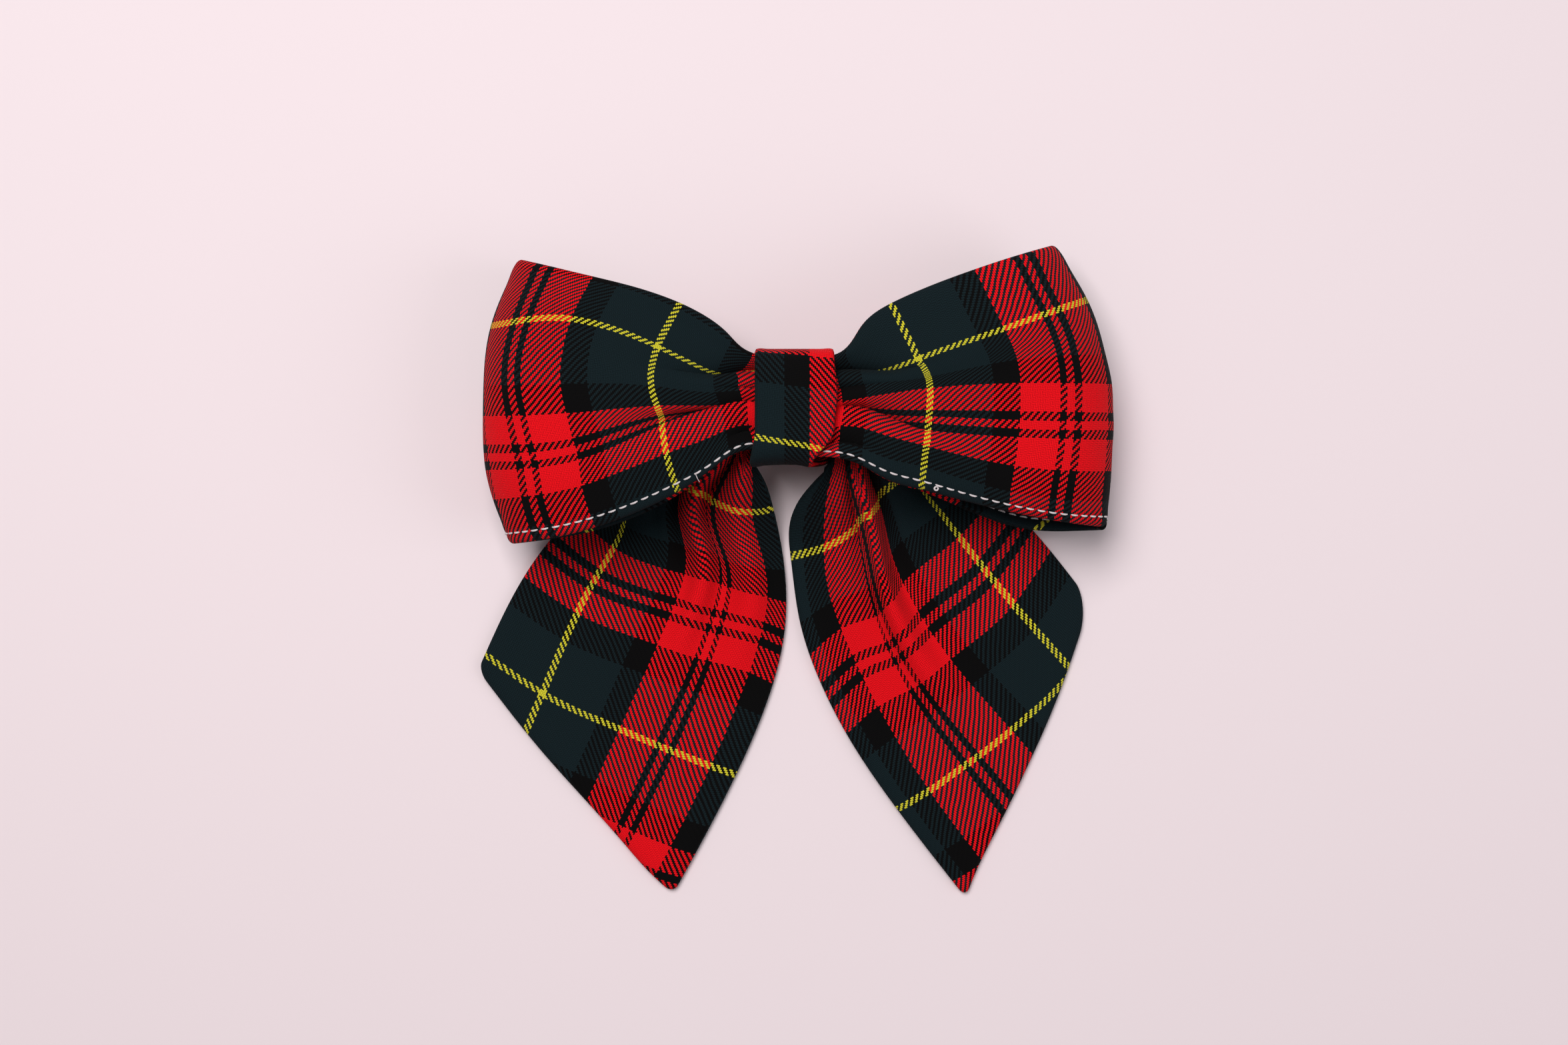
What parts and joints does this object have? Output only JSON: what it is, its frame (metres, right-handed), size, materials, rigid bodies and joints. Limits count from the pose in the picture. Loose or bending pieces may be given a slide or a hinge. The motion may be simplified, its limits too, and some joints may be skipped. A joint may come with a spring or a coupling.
{
  "type": "hair bow",
  "caption": "Tartan cloth sailor bow with hollow loops, pointed tails and a wrapped knot, on a sprung barrette whose arm swings open.",
  "frame": {"origin": "on the surface the bow lies on, below the middle of its outline", "axes": "+X along the barrette, +Y towards the top edge of the loops, +Z out of the bow's front; the bow lies on its back"},
  "size_m": [0.1524, 0.1563, 0.0345],
  "materials": {
    "tartan_cloth": "twill woven tartan in red, dark green, black and yellow",
    "interfacing": "non-woven",
    "pale_thread": "spun polyester thread",
    "dark_thread": "spun polyester thread",
    "glue": "hot-melt glue",
    "spring_steel": "nickel plated, satin",
    "pin_steel": "satin"
  },
  "bodies": {
    "bow": {"bow_strip": "tartan_cloth", "bow_interfacing": "interfacing", "bow_topstitch": "pale_thread", "bow_gather_thread": "dark_thread", "ring_seam_stitches": "pale_thread", "tail_strip": "tartan_cloth", "tail_interfacing": "interfacing", "tail_gather_thread": "dark_thread", "knot_band": "tartan_cloth", "knot_stitches": "dark_thread", "glue_pad": "glue", "barrette_base": "spring_steel", "tension_bar": "spring_steel", "hinge_pin": "pin_steel", "catch_plate": "spring_steel", "catch_rivet": "pin_steel"},
    "arm": {"clasp_arm": "spring_steel"},
    "leg_upper": {"catch_leg_upper": "spring_steel"},
    "leg_lower": {"catch_leg_lower": "spring_steel"}
  },
  "joints": [
    {"name": "arm_swing", "type": "hinge", "parent": "bow", "child": "arm", "pos_m": [-0.038, 0.0386, 0.0026], "axis": [0, 1, 0], "range_deg": [0, 75]},
    {"name": "leg_upper_pinch", "type": "hinge", "parent": "bow", "child": "leg_upper", "pos_m": [0.037, 0.0403, 0.00395], "axis": [-1, 0, 0], "range_deg": [0, 7], "stiffness_Nm_per_rad": 0.004},
    {"name": "leg_lower_pinch", "type": "hinge", "parent": "bow", "child": "leg_lower", "pos_m": [0.037, 0.0369, 0.00395], "axis": [1, 0, 0], "range_deg": [0, 7], "stiffness_Nm_per_rad": 0.004}
  ],
  "couplings": [
    {"joint": "leg_lower_pinch", "follows": "leg_upper_pinch", "ratio": 1}
  ]
}
